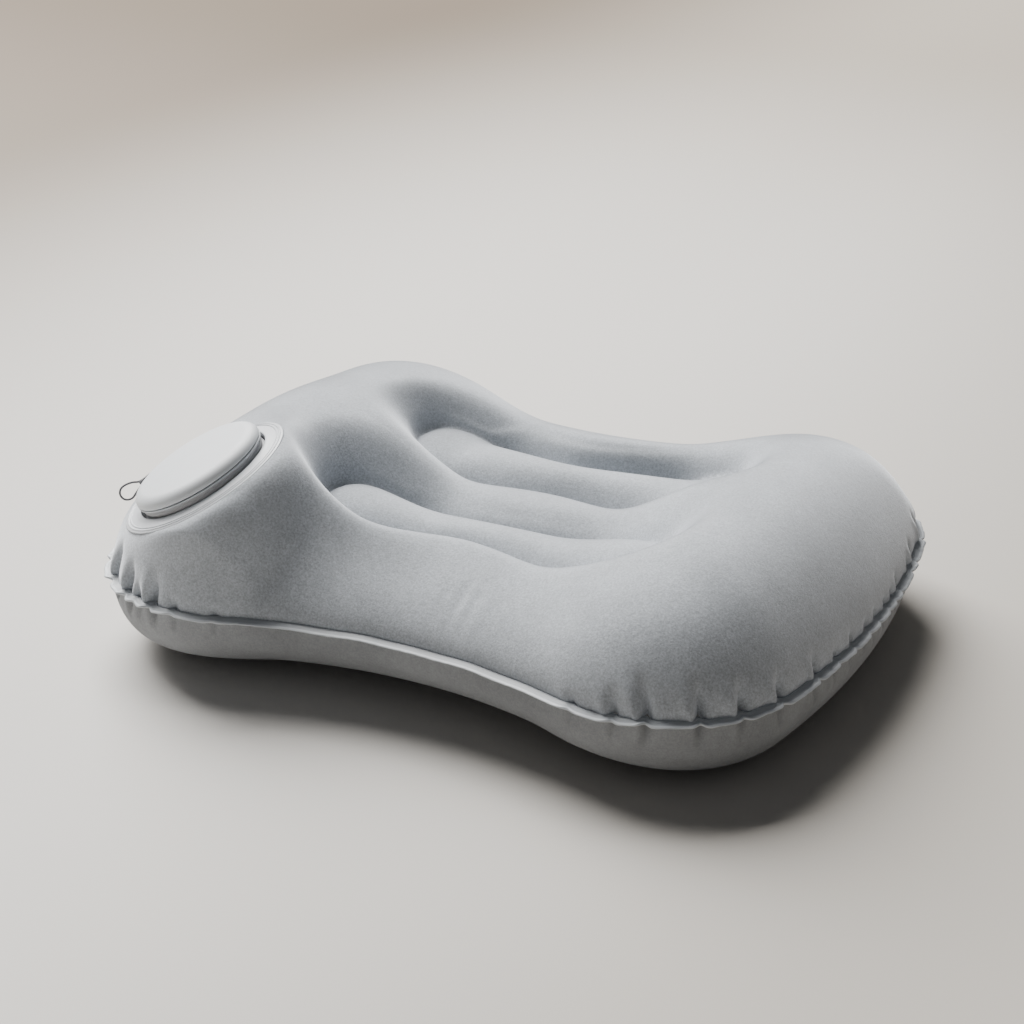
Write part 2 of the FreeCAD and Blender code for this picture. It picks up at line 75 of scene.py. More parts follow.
ASIDE = np.cross(PUMP_AXIS, OUTBOARD)
PORT_LOW, PORT_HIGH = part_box("release_port")
PORT_PLACE = np.array((PORT_LOW + PORT_HIGH) * (0.5 / MM)) - np.array((0.0, 0.0, WELD))

# ---- Plan outline: the arcs of the sheets' edge ----
HALF_WIDTH = 161.5
HALF_WAIST = 141.0
CORNER_RADIUS = 76.0
WAIST_RADIUS = 300.0

# ---- Crowns ----
UPPER = {"middle": 44.0, "lobe": 98.0, "power": 2.55, "root": 1.6}
LOWER = {"middle": 40.7, "lobe": 60.0, "power": 3.64, "root": 3.15}
UPPER_BLEND = (45.0, 180.0)          # where the middle's crown turns into the lobes
LOWER_BLEND = (70.0, 190.0)

# ---- Cradle ----
CRADLE_MIDDLE = 7.0
CRADLE_DIP = 15.0
CRADLE_HALF = (32.0, 35.0)
CRADLE_END = (100.0, 78.0)
LEAF_LENGTH = 100.0
LEAF_PLACE = (48.0, 52.0)
LEAF_HALF = (20.0, 27.0)
LEAF_CHANGE = 62.0
LEAF_CREST = (29.0, 42.0)
LEAF_CLIMB = (30.0, 105.0)          # where the front leaf's crest climbs
REAR_CLIMB = (66.0, 108.0)
GROOVE_BOTTOM = (14.0, 32.0)
GROOVE_CLIMB = (42.0, 96.0)
LEAF_REACH = 24.0
GROOVE_BANK = (26.0, 16.0)
RIM_LIFT = 7.0                      # the rim in front of the cradle stands this much higher
RIM_PLACE = (-50.0, -94.0)
RIM_SPREAD = (45.0, 17.0)

# ---- Pump surroundings ----
PUMP_FLAT_RADIUS = 49.0
PUMP_BLEND_RADIUS = 80.0
PUMP_KEEP_OFF = 0.6                 # the rise to the pump starts this far from a groove
PUMP_ROLL = 5.0                     # how soon the plane's slope levels off outside the collar
LOBE_DROP = 6.5                     # the rear of the left lobe is lower by this
LOBE_DROP_PLACE = (-140.0, 70.0)
LOBE_DROP_SPREAD = (48.0, 48.0)
SHOULDER_LIFT = 3.0                # the sheet between the pump and the cradle
SHOULDER_PLACE = (-104.0, -76.0)
SHOULDER_SPREAD = (20.0, 26.0)
BRIDGE_LIFT = 15.0                  # the flank between the pump and the waist
BRIDGE_PLACE = (-84.0, -109.0)
BRIDGE_SPREAD = (36.0, 26.0)
WAIST_FOLDS = (                     # soft upright folds on the front flank: place, depth, width
    (19.0, 0.35, 4.0),
    (27.0, 0.85, 3.2),
    (35.5, 0.60, 2.6),
    (48.0, 0.30, 4.5),
)
FOLD_PLACE = (0.86, 0.08)           # where they lie, as a share of the way to the weld, and spread
PUMP_HOLE = 43.0                    # the sheet is cut out inside this, under the collar
PORT_HOLE = 4.4                     # and inside this, round the release port
PORT_CUT = 3.45                     # the port's hole in the collar
HOLE_REACH = 9.0                    # up and down from the sheet

# ---- Pleats at the weld: direction in degrees, height that the fold reaches, depth ----
FRONT_PLEATS = (
    (-147.5, 13.0, 2.0),
    (-140.5, 22.0, 3.0),
    (-135.5, 19.0, 2.6),
    (-133.1, 9.0, 1.3),
    (-130.4, 20.0, 2.8),
    (-127.0, 8.0, 1.2),
    (-122.1, 6.0, 0.9),
    (-56.0, 7.0, 0.8),
    (-51.1, 14.0, 1.8),
    (-47.4, 21.0, 2.9),
    (-41.1, 20.0, 2.9),
    (-35.7, 17.0, 2.5),
    (-29.7, 15.0, 2.2),
    (-21.6, 13.0, 2.0),
    (-16.0, 8.0, 1.2),
    (-10.8, 9.0, 1.5),
    (-5.5, 7.0, 1.1),
    (-1.6, 8.0, 1.3),
)
LEFT_END_PLEATS = (
    (-172.0, 9.0, 1.4),
    (-164.0, 8.0, 1.3),
    (-155.5, 10.0, 1.5),
)
CREASE_WIDTH = 2.1                  # at the weld; it opens with height
CREASE_OPENING = 0.10
BULGE_HEIGHT = 8.0                  # height where a sheet stands furthest out over the hem

def smooth(value):
    value = np.clip(value, 0.0, 1.0)
    return value * value * (3.0 - 2.0 * value)


def plan_radius(angle):
    """Distance from the centre to the edge of the sheets, for an array of directions."""
    corner_y = HALF_WIDTH - CORNER_RADIUS
    waist_y = HALF_WAIST + WAIST_RADIUS
    corner_x = math.sqrt((WAIST_RADIUS + CORNER_RADIUS) ** 2 - (waist_y - corner_y) ** 2)
    reach = HALF_LENGTH - CORNER_RADIUS
    end_x = (reach ** 2 - corner_x ** 2 - corner_y ** 2) / (2.0 * (reach - corner_x))
    end = HALF_LENGTH - end_x
    c, s = np.abs(np.cos(angle)), np.abs(np.sin(angle))
    end_turn = math.atan2(corner_y, corner_x - end_x)
    waist_turn = math.atan2(waist_y - corner_y, corner_x)
    in_end = s * (end_x + end * math.cos(end_turn)) < c * end * math.sin(end_turn)
    waist_end = waist_y - WAIST_RADIUS * math.sin(waist_turn)
    in_corner = s * WAIST_RADIUS * math.cos(waist_turn) < c * waist_end
    centre_x = np.where(in_end, end_x, np.where(in_corner, corner_x, 0.0))
    centre_y = np.where(in_end, 0.0, np.where(in_corner, corner_y, waist_y))
    radius = np.where(in_end, end, np.where(in_corner, CORNER_RADIUS, WAIST_RADIUS))
    sign = np.where(in_end | in_corner, 1.0, -1.0)
    along = centre_x * c + centre_y * s
    return along + sign * np.sqrt(along ** 2 - centre_x ** 2 - centre_y ** 2 + radius ** 2)


OUTLINE_TURNS = np.linspace(0.0, 2.0 * math.pi, 7201)
OUTLINE_X = plan_radius(OUTLINE_TURNS) * np.cos(OUTLINE_TURNS)
OUTLINE_Y = plan_radius(OUTLINE_TURNS) * np.sin(OUTLINE_TURNS)
OUTLINE_ARCS = np.concatenate([[0.0], np.cumsum(np.hypot(np.diff(OUTLINE_X), np.diff(OUTLINE_Y)))])
PERIMETER = OUTLINE_ARCS[-1]


def arc_at(turn):
    """Distance along the outline, from +X, of an array of directions."""
    return np.interp(np.mod(turn, 2.0 * math.pi), OUTLINE_TURNS, OUTLINE_ARCS)


def outward_at(turn):
    """The outline's outward normal, as two arrays."""
    before, after = turn - 0.002, turn + 0.002
    along_x = plan_radius(after) * np.cos(after) - plan_radius(before) * np.cos(before)
    along_y = plan_radius(after) * np.sin(after) - plan_radius(before) * np.sin(before)
    length = np.hypot(along_x, along_y)
    return along_y / length, -along_x / length


def ramp(value, span):
    """Smooth ramp from 0 to 1 over a span."""
    return smooth((value - span[0]) / (span[1] - span[0]))


def crown(form, along, r):
    top = form["middle"] + (form["lobe"] - form["middle"]) * along
    return top * np.maximum(1.0 - r ** form["power"], 0.0) ** (1.0 / form["root"])


def leaf_line(x):
    change = smooth(np.abs(x - CRADLE_MIDDLE) / LEAF_CHANGE)
    place = LEAF_PLACE[0] + (LEAF_PLACE[1] - LEAF_PLACE[0]) * change
    half = LEAF_HALF[0] + (LEAF_HALF[1] - LEAF_HALF[0]) * change
    return place, half


def leaf_share(x, y):
    """0 on a leaf's middle line and 1 on the groove round it, and the signed share across."""
    place, half = leaf_line(x)
    aside = (np.abs(y) - place) / half
    return np.sqrt(aside ** 2 + (np.abs(x - CRADLE_MIDDLE) / LEAF_LENGTH) ** 6), aside


def cradle_height(x, y, height):
    """The crown's height with the cradle's dip, grooves and leaves worked into it."""
    away = np.abs(x - CRADLE_MIDDLE)
    along = 1.0 - ramp(away, (CRADLE_HALF[0], CRADLE_END[0]))
    across = 1.0 - ramp(np.abs(y), (CRADLE_HALF[1], CRADLE_END[1]))
    height = height - CRADLE_DIP * along * across
    bottom = GROOVE_BOTTOM[0] + (GROOVE_BOTTOM[1] - GROOVE_BOTTOM[0]) * ramp(away, GROOVE_CLIMB)
    climb = np.where(y < 0.0, ramp(away, LEAF_CLIMB), ramp(away, REAR_CLIMB))
    crest = LEAF_CREST[0] + (LEAF_CREST[1] - LEAF_CREST[0]) * climb
    q, aside = leaf_share(x, y)
    leaf = bottom + (crest - bottom) * (1.0 - np.minimum(q, 1.0) ** 2.4)
    bank = GROOVE_BANK[0] + (GROOVE_BANK[1] - GROOVE_BANK[0]) * smooth(0.5 * (aside + 1.0))
    near = np.clip(1.0 - (q - 1.0) * LEAF_REACH / bank, 0.0, 1.0) ** 2
    return np.where(q < 1.0, leaf, height + (bottom - height) * near)


def bump(x, y, place, spread):
    return np.exp(-((x - place[0]) / spread[0]) ** 2 - ((y - place[1]) / spread[1]) ** 2)


def waist_folds(x, y, r):
    """Depth of the soft folds at the front of the waist."""
    band = np.exp(-((r - FOLD_PLACE[0]) / FOLD_PLACE[1]) ** 2) * (y < 0.0)
    folds = [depth * np.exp(-((x - place) / width) ** 2) for place, depth, width in WAIST_FOLDS]
    return sum(folds) * band


def pump_plane(x, y):
    lean = PUMP_AXIS[:2] / PUMP_AXIS[2]
    return PUMP_CENTRE[2] - lean[0] * (x - PUMP_CENTRE[0]) - lean[1] * (y - PUMP_CENTRE[1])


def pump_distance(x, y):
    """Distance from the pump's axis of the points of its plane over x and y."""
    away = np.stack([x - PUMP_CENTRE[0], y - PUMP_CENTRE[1], pump_plane(x, y) - PUMP_CENTRE[2]], -1)
    return np.linalg.norm(away, axis=-1)


def pump_brim(x, y, away):
    """The pump's plane inside the collar, and its edge's height, rolling over, outside."""
    beyond = np.maximum(away - PUMP_FLAT_RADIUS, 0.0)
    inward = np.where(beyond > 0.0, PUMP_FLAT_RADIUS / np.maximum(away, 1.0), 1.0)
    edge = pump_plane(PUMP_CENTRE[0] + (x - PUMP_CENTRE[0]) * inward,
                      PUMP_CENTRE[1] + (y - PUMP_CENTRE[1]) * inward)
    slope = (edge - PUMP_CENTRE[2]) / PUMP_FLAT_RADIUS
    return edge + slope * PUMP_ROLL * (1.0 - np.exp(-beyond / PUMP_ROLL))


def upper_height(x, y, r):
    """Height of the upper sheet over the weld plane."""
    lobe = ramp(np.abs(x - CRADLE_MIDDLE), UPPER_BLEND)
    inside = 1.0 - r ** 4
    height = crown(UPPER, lobe, r) + RIM_LIFT * bump(x, y, RIM_PLACE, RIM_SPREAD) * inside
    height = height + BRIDGE_LIFT * bump(x, y, BRIDGE_PLACE, BRIDGE_SPREAD) * inside
    height = cradle_height(x, y, height)
    height = height - LOBE_DROP * bump(x, y, LOBE_DROP_PLACE, LOBE_DROP_SPREAD) * inside
    from_leaf = smooth((leaf_share(x, y)[0] - 1.0) / PUMP_KEEP_OFF)
    height = height + SHOULDER_LIFT * bump(x, y, SHOULDER_PLACE, SHOULDER_SPREAD) * from_leaf
    away = pump_distance(x, y)
    share = 1.0 - smooth((away - PUMP_FLAT_RADIUS) / (PUMP_BLEND_RADIUS - PUMP_FLAT_RADIUS))
    share = share * from_leaf * (1.0 - smooth((r - 0.95) / 0.05))
    share = np.where(away < PUMP_FLAT_RADIUS, 1.0, share)
    return height + (pump_brim(x, y, away) - height) * share


SOFT_CELL = 1.5                     # cells of the softened height map
SOFT_SPREAD = 6.0                   # how far it is softened
SOFT_SPAN = (216.0, 171.0)
BULGE_LOAD = 0.014                  # least bulge of the free sheet, as curvature per millimetre
BULGE_STEPS = 260
BULGE_PLACE = (-38.0, -66.0)        # the bulging starts and is full here, towards the pump


def inflated(height, start, free):
    """Height map with its hollows blown out, held where the sheet is not free."""
    cross = ((1, 0), (-1, 0), (1, 1), (-1, 1))
    flat = sum(np.roll(start, step, axis=axis) for step, axis in cross)
    load = np.maximum(4.0 * start - flat, BULGE_LOAD * SOFT_CELL ** 2)
    height = np.where(free, start, height)
    odd = np.indices(height.shape).sum(axis=0) % 2 == 1
    for _ in range(BULGE_STEPS):
        for turn in (odd, ~odd):
            around = sum(np.roll(height, step, axis=axis) for step, axis in cross)
            height = height + np.where(free & turn, 1.9 * (0.25 * (around + load) - height), 0.0)
    return height


def softened_map():
    """Upper height on a regular grid, blurred and then inflated round pump and grooves."""
    side_x = np.arange(-SOFT_SPAN[0], SOFT_SPAN[0] + 0.1, SOFT_CELL)
    side_y = np.arange(-SOFT_SPAN[1], SOFT_SPAN[1] + 0.1, SOFT_CELL)
    x, y = np.meshgrid(side_x, side_y, indexing="ij")
    r = np.hypot(x, y) / plan_radius(np.arctan2(y, x))
    exact = upper_height(x, y, np.minimum(r, 1.0))
    height = exact
    reach = np.arange(-3.0 * SOFT_SPREAD, 3.0 * SOFT_SPREAD + 0.1, SOFT_CELL)
    kernel = np.exp(-0.5 * (reach / SOFT_SPREAD) ** 2)
    kernel /= kernel.sum()
    pad = len(kernel) // 2
    for axis in (0, 1):
        wide = np.pad(height, [(pad, pad) if n == axis else (0, 0) for n in (0, 1)], "edge")
        height = sum(weight * np.roll(wide, -n, axis=axis)[:height.shape[0], :height.shape[1]]
                     for n, weight in enumerate(kernel))
    height = height + (exact - height) * ramp(r, (0.80, 0.90))
    free = (leaf_share(x, y)[0] > 1.0) & (pump_distance(x, y) > PUMP_FLAT_RADIUS) & (r < 0.96)
    blown = inflated(exact, height, free)
    near_leaf = 1.0 - ramp(leaf_share(x, y)[0], (1.5, 2.4))
    near_pump = 1.0 - ramp(pump_distance(x, y), (62.0, 88.0))
    share = np.maximum(near_leaf, near_pump) * ramp(-x, (-BULGE_PLACE[0], -BULGE_PLACE[1]))
    return height + (blown - height) * share


def sample_map(height, x, y):
    """Height map read between its cells."""
    across = (x + SOFT_SPAN[0]) / SOFT_CELL
    up = (y + SOFT_SPAN[1]) / SOFT_CELL
    i = np.clip(across.astype(int), 0, height.shape[0] - 2)
    j = np.clip(up.astype(int), 0, height.shape[1] - 2)
    a, b = across - i, up - j
    low = height[i, j] * (1.0 - a) + height[i + 1, j] * a
    high = height[i, j + 1] * (1.0 - a) + height[i + 1, j + 1] * a
    return low * (1.0 - b) + high * b


def soft_upper_height(x, y, r):
    """The upper sheet's height with its banks rounded off, away from grooves, pump and weld."""
    near = 0.55 - 0.40 * ramp(-x, (-BULGE_PLACE[0], -BULGE_PLACE[1]))
    share = smooth((leaf_share(x, y)[0] - 1.02) / near)
    share = share * smooth((pump_distance(x, y) - PUMP_FLAT_RADIUS) / 3.0)
    share = share * (1.0 - smooth((r - 0.90) / 0.06))
    height = upper_height(x, y, r)
    return height + (sample_map(SOFT_MAP, x, y) - height) * share


SOFT_MAP = softened_map()


def lower_height(x, r):
    return -np.minimum(crown(LOWER, ramp(np.abs(x), LOWER_BLEND), r), WELD)


def all_pleats():
    """The front pleats, the left end's, and uneven mirror images of both at the rear."""
    pleats = list(FRONT_PLEATS + LEFT_END_PLEATS)
    for angle, reach, depth in FRONT_PLEATS + LEFT_END_PLEATS:
        shift = 1.3 * math.sin(3.0 * angle)
        pleats.append((shift - angle, reach * (1.0 + 0.15 * math.sin(angle)), depth))
    return pleats


PLEATS = all_pleats()


def polar_grid(rings, spokes):
    """Rings and spokes over the plan, closer together at the weld and round the corners."""
    dense = 1.0 + 0.8 * smooth((np.abs(OUTLINE_X) - 90.0) / 40.0)
    for angle, _, _ in PLEATS:
        dense += 2.2 * np.exp(-((OUTLINE_ARCS - arc_at(math.radians(angle))) / 4.5) ** 2)
    steps = 0.5 * (dense[1:] + dense[:-1]) * np.diff(OUTLINE_ARCS)
    weight = np.concatenate([[0.0], np.cumsum(steps)])
    turn = np.interp(np.arange(spokes) / spokes * weight[-1], weight, OUTLINE_TURNS)
    r = 1.0 - (1.0 - np.arange(1, rings + 1) / rings) ** 1.35
    r, turn = np.meshgrid(r, turn, indexing="ij")
    edge = plan_radius(turn)
    return r * edge * np.cos(turn), r * edge * np.sin(turn), r, turn


def arc_from(arc, angle):
    """Distance along the outline from a direction, the short way round."""
    away = arc - arc_at(np.radians(angle))
    return np.mod(away + 0.5 * PERIMETER, PERIMETER) - 0.5 * PERIMETER


def pleat_waves(turn, height, share=1.0):
    """Pull of the pleats towards the middle, and the part of the sheet that they hold."""
    arc = arc_at(turn)
    pull = np.zeros_like(arc)
    held = np.zeros_like(arc)
    for angle, reach, depth in PLEATS:
        away = arc_from(arc, angle)
        width = CREASE_WIDTH + CREASE_OPENING * height
        crease = np.exp(-(np.abs(away) / width) ** 1.6)
        ridge = np.exp(-((away + 2.0 * width) / (1.3 * width)) ** 2)
        fade = 1.0 - smooth(height / (1.15 * reach * share))
        pull += 2.0 * depth * (crease - 0.45 * ridge) * fade
        held += np.exp(-(away / (2.4 * width)) ** 2) * fade
    return pull, np.minimum(held, 1.0)


def hem_rise(turn):
    """How far the weld line waves up and down: steps at the pleats and small ripples."""
    arc = arc_at(turn)
    rise = 0.16 * np.sin(arc / 9.0) + 0.12 * np.sin(arc / 5.3 + 1.0)
    for angle, _, depth in PLEATS:
        away = arc_from(arc, angle)
        rise -= 0.17 * depth * (away / 3.0) * np.exp(0.5 - 0.5 * (away / 3.0) ** 2)
    return rise


def crinkle(turn):
    """Fine waves of the free hem, strongest at the two ends."""
    arc = arc_at(turn)
    ends = smooth((np.abs(np.cos(turn)) - 0.72) / 0.25)
    waves = np.sin(2.0 * math.pi * arc / 7.7) + 0.6 * np.sin(2.0 * math.pi * arc / 4.9 + 0.8)
    return waves * (0.05 + 0.15 * ends)


def pucker(x, y, z, r, turn, bulge, share):
    """Pleats, bulge over the hem and waving weld line, worked into a sheet's points."""
    height = np.abs(z)
    rim = smooth((r - 0.72) / 0.16)
    pull, held = pleat_waves(turn, height, share)
    level = height / BULGE_HEIGHT
    out = bulge * level * np.exp(1.0 - level) * (1.0 - 0.55 * held) - pull
    normal_x, normal_y = outward_at(turn)
    x = x + normal_x * out * rim
    y = y + normal_y * out * rim
    z = z + hem_rise(turn) * np.exp(-height / 6.0) * rim
    return x, y, z


def new_piece(name, points, faces):
    """Object from points given in millimetres from the weld plane."""
    points = np.asarray(points, float) * MM
    points[:, 2] += WELD * MM
    mesh = bpy.data.meshes.new(name)
    mesh.from_pydata(points.tolist(), [], faces)
    mesh.shade_smooth()
    piece = bpy.data.objects.new(name, mesh)
    bpy.context.collection.objects.link(piece)
    return piece


def ring_faces(rings, spokes, closed=False, flip=False):
    """Quads between rings of points; closed joins the last ring to the first."""
    index = np.arange(rings * spokes).reshape(rings, spokes)
    beyond = np.roll(index, -1, axis=1)
    last = None if closed else -1
    quads = np.stack([index[:last], beyond[:last], np.roll(beyond, -1, axis=0)[:last],
                      np.roll(index, -1, axis=0)[:last]], -1).reshape(-1, 4)
    return quads if flip else quads[:, ::-1]


def round_sheet(name, x, y, z, keep, flip):
    """Sheet from a polar grid with a point at its middle; keep says which quads stay."""
    rings, spokes = x.shape
    points = np.stack([x, y, z], -1).reshape(-1, 3)
    middle = points[:spokes].mean(axis=0)
    quads = ring_faces(rings, spokes, flip=not flip)
    quads = quads[keep(points[quads].mean(axis=1))]
    faces = quads.tolist()
    centre = len(points)
    for spoke in range(spokes):
        fan = [centre, spoke, (spoke + 1) % spokes]
        faces.append(fan if flip else fan[::-1])
    piece = new_piece(name, np.vstack([points, middle]), faces)
    used = np.zeros(len(points) + 1, bool)
    used[quads.ravel()] = True
    used[centre] = True
    used[:spokes] = True
    loose = np.flatnonzero(~used)
    if len(loose):
        work = bmesh.new()
        work.from_mesh(piece.data)
        work.verts.ensure_lookup_table()
        bmesh.ops.delete(work, geom=[work.verts[int(n)] for n in loose], context="VERTS")
        work.to_mesh(piece.data)
        work.free()
    return piece


# ---- Materials ----
def new_material(name, color, roughness):
    material = bpy.data.materials.new(name)
    material.use_nodes = True
    shader = material.node_tree.nodes["Principled BSDF"]
    shader.inputs["Base Color"].default_value = (*color, 1.0)
    shader.inputs["Roughness"].default_value = roughness
    return material, material.node_tree, shader


def noise_of(tree, scale, detail=2.0, rough=0.5):
    place = tree.nodes.get("Texture Coordinate") or tree.nodes.new("ShaderNodeTexCoord")
    noise = tree.nodes.new("ShaderNodeTexNoise")
    noise.inputs["Scale"].default_value = scale
    noise.inputs["Detail"].default_value = detail
    noise.inputs["Roughness"].default_value = rough
    tree.links.new(place.outputs["Object"], noise.inputs["Vector"])
    return noise.outputs["Fac"]


def ramp_of(tree, source, low, high, dark, light):
    ramp = tree.nodes.new("ShaderNodeValToRGB")
    ramp.color_ramp.elements[0].position = low
    ramp.color_ramp.elements[1].position = high
    ramp.color_ramp.elements[0].color = (*dark, 1.0)
    ramp.color_ramp.elements[1].color = (*light, 1.0)
    tree.links.new(source, ramp.inputs["Fac"])
    return ramp.outputs["Color"]


def multiply(tree, first, second, share=1.0):
    mix = tree.nodes.new("ShaderNodeMix")
    mix.data_type = "RGBA"
    mix.blend_type = "MULTIPLY"
    mix.inputs["Factor"].default_value = share
    tree.links.new(first, mix.inputs["A"])
    tree.links.new(second, mix.inputs["B"])
    return mix.outputs["Result"]


def bump_of(tree, source, strength, distance, under=None):
    bump = tree.nodes.new("ShaderNodeBump")
    bump.inputs["Strength"].default_value = strength
    bump.inputs["Distance"].default_value = distance
    tree.links.new(source, bump.inputs["Height"])
    if under is not None:
        tree.links.new(under, bump.inputs["Normal"])
    return bump.outputs["Normal"]


def flock_material(name, color, sheen, contrast):
    """Short velvety flock: fine speckle, cloudy brushed patches, soft sheen."""
    material, tree, shader = new_material(name, color, 0.92)
    dark = tuple(0.86 * c for c in color)
    light = tuple(1.05 * c for c in color)
    clouds = ramp_of(tree, noise_of(tree, 22.0, 5.0, 0.62), 0.36, 0.66, dark, light)
    speckle = ramp_of(tree, noise_of(tree, 900.0, 3.0, 0.7), 0.36, 0.64,
                      (1.0 - contrast,) * 3, (1.0 + 0.6 * contrast,) * 3)
    grain = ramp_of(tree, noise_of(tree, 260.0, 4.0, 0.6), 0.35, 0.65, (0.95,) * 3, (1.03,) * 3)
    color_out = multiply(tree, multiply(tree, clouds, speckle), grain)
    tree.links.new(color_out, shader.inputs["Base Color"])
    fine = bump_of(tree, noise_of(tree, 1400.0, 2.0, 0.6), 0.35, 0.0004)
    coarse = bump_of(tree, noise_of(tree, 320.0, 3.0, 0.6), 0.25, 0.0006, fine)
    tree.links.new(coarse, shader.inputs["Normal"])
    shader.inputs["Sheen Weight"].default_value = sheen
    shader.inputs["Sheen Roughness"].default_value = 0.5
    shader.inputs["Sheen Tint"].default_value = (0.92, 0.95, 1.0, 1.0)
    shader.inputs["Specular IOR Level"].default_value = 0.25
    return material


def plastic_material(name, color, roughness, grain=500.0, strength=0.05, specular=0.5):
    """Moulded plastic or film: faint tone changes and a very fine surface texture."""
    material, tree, shader = new_material(name, color, roughness)
    dark = tuple(0.965 * c for c in color)
    tone = ramp_of(tree, noise_of(tree, 45.0, 3.0), 0.35, 0.7, dark, color)
    tree.links.new(tone, shader.inputs["Base Color"])
    rough = tree.nodes.new("ShaderNodeMapRange")
    rough.inputs["To Min"].default_value = roughness - 0.05
    rough.inputs["To Max"].default_value = roughness + 0.07
    tree.links.new(noise_of(tree, 120.0, 3.0), rough.inputs["Value"])
    tree.links.new(rough.outputs["Result"], shader.inputs["Roughness"])
    normal = bump_of(tree, noise_of(tree, grain, 2.0), strength, 0.0002)
    tree.links.new(normal, shader.inputs["Normal"])
    shader.inputs["Specular IOR Level"].default_value = specular
    return material


FLOCK = flock_material("grey_flock", (0.445, 0.475, 0.512), 1.0, 0.25)
# The lower sheet's flock is the same flock in a darker colour: painted shade for the underside,
# which faces away from the light.
SHADED_UNDER_FLOCK = flock_material("under_flock_painted_shade", (0.32, 0.33, 0.342), 0.15, 0.12)
HEM = plastic_material("hem_film", (0.41, 0.435, 0.46), 0.45, 700.0, 0.15)
WEB = plastic_material("web_film", (0.55, 0.57, 0.60), 0.45)
COLLAR = plastic_material("collar_film", (0.62, 0.645, 0.68), 0.40)
CAP = plastic_material("cap_plastic", (0.68, 0.71, 0.74), 0.5, 900.0, 0.08)
HEM_EDGE = plastic_material("hem_edge", (0.56, 0.59, 0.62), 0.42, 700.0, 0.12)
MOULDED = plastic_material("moulded_grey", (0.42, 0.43, 0.45), 0.5)
FOAM = plastic_material("foam", (0.62, 0.58, 0.50), 0.9, 350.0, 0.9, 0.2)
GAITER = plastic_material("gaiter_rubber", (0.55, 0.56, 0.58), 0.6)
RUBBER = plastic_material("flap_rubber", (0.05, 0.05, 0.055), 0.6)
CORD = plastic_material("cord", (0.15, 0.15, 0.16), 0.7, 1800.0, 0.6, 0.3)


def finish_piece(piece, material, slot_name, body, *nodes):
    piece.data.materials.clear()
    piece.data.materials.append(material)
    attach(piece, body)
    if nodes:
        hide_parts(*nodes)
    return piece


# ---- Camera, floor and light ----
VIEW_AZIMUTH = math.radians(27.01)
VIEW_ELEVATION = math.radians(23.08)
VIEW_DISTANCE = 1.20463
VIEW_TARGET = Vector((-0.02426, 0.03575, WELD * MM))


def make_camera():
    data = bpy.data.cameras.new("camera")
    data.sensor_width = 36.0
    data.lens = 72.94
    data.clip_end = 20.0
    camera = bpy.data.objects.new("camera", data)
    back = Vector((math.sin(VIEW_AZIMUTH) * math.cos(VIEW_ELEVATION),
                   -math.cos(VIEW_AZIMUTH) * math.cos(VIEW_ELEVATION),
                   math.sin(VIEW_ELEVATION)))
    camera.location = VIEW_TARGET + back * VIEW_DISTANCE
    camera.rotation_euler = back.to_track_quat("Z", "Y").to_euler()
    bpy.context.collection.objects.link(camera)
    bpy.context.scene.camera = camera
    return camera


FLOOR_COLOR = (0.69, 0.67, 0.64)
# Painted shade on the floor: the axis, the span over which the colour darkens, and the darkest
# tone.
FLOOR_PAINTED_SHADE = (
    ("X", (-0.30, -1.05), (0.38, 0.335, 0.29)),
    ("Y", (0.3, 1.8), (0.52, 0.48, 0.43)),
    ("X", (-0.15, 0.35), (0.66, 0.64, 0.61)),
)


def make_floor():
    """Pale floor with painted shade: its colour fades darker to the sides and the back, standing in
    for the light's falloff.
    """
    mesh = bpy.data.meshes.new("floor")
    half = 6.0
    mesh.from_pydata([(-half, -half, 0), (half, -half, 0), (half, half, 0), (-half, half, 0)],
                     [], [(0, 1, 2, 3)])
    floor = bpy.data.objects.new("floor", mesh)
    bpy.context.collection.objects.link(floor)
    material, tree, shader = new_material("pale_floor_painted_shade", FLOOR_COLOR, 0.85)
    place = tree.nodes.new("ShaderNodeTexCoord")
    parts = tree.nodes.new("ShaderNodeSeparateXYZ")
    tree.links.new(place.outputs["Object"], parts.inputs["Vector"])
    plain = tree.nodes.new("ShaderNodeRGB")
    plain.outputs["Color"].default_value = (*FLOOR_COLOR, 1.0)
    tone = plain.outputs["Color"]
    # Each fade multiplies painted shade into the floor colour.
    for side, span, dark in FLOOR_PAINTED_SHADE:
        fade = tree.nodes.new("ShaderNodeMapRange")
        fade.interpolation_type = "SMOOTHSTEP"
        fade.inputs["From Min"].default_value = span[0]
        fade.inputs["From Max"].default_value = span[1]
        tree.links.new(parts.outputs[side], fade.inputs["Value"])
        shade = ramp_of(tree, fade.outputs["Result"], 0.0, 1.0, (1.0,) * 3, dark)
        tone = multiply(tree, tone, shade)
    tree.links.new(tone, shader.inputs["Base Color"])
    shader.inputs["Specular IOR Level"].default_value = 0.2
    mesh.materials.append(material)


def area_light(name, place, aim, size, power, color=(1.0, 1.0, 1.0)):
    data = bpy.data.lights.new(name, "AREA")
    data.shape = "SQUARE"
    data.size = size
    data.energy = power
    data.color = color
    lamp = bpy.data.objects.new(name, data)
    lamp.location = place
    lamp.rotation_euler = (Vector(place) - Vector(aim)).to_track_quat("Z", "Y").to_euler()
    bpy.context.collection.objects.link(lamp)


def make_light():
    """Large soft key light from behind on the left, and a weak fill."""
    world = bpy.data.worlds.new("studio")
    world.use_nodes = True
    sky = world.node_tree.nodes["Background"]
    sky.inputs["Color"].default_value = (0.93, 0.95, 1.0, 1.0)
    sky.inputs["Strength"].default_value = 0.10
    bpy.context.scene.world = world
    area_light("key", (-3.5, 2.7, 4.2), (0.0, 0.0, 0.0), 4.8, 1390.0, (1.0, 0.985, 0.96))
    area_light("fill", (0.2, -2.2, 1.3), (0.0, 0.0, 0.05), 1.6, 1.0)


make_camera()
make_floor()
make_light()


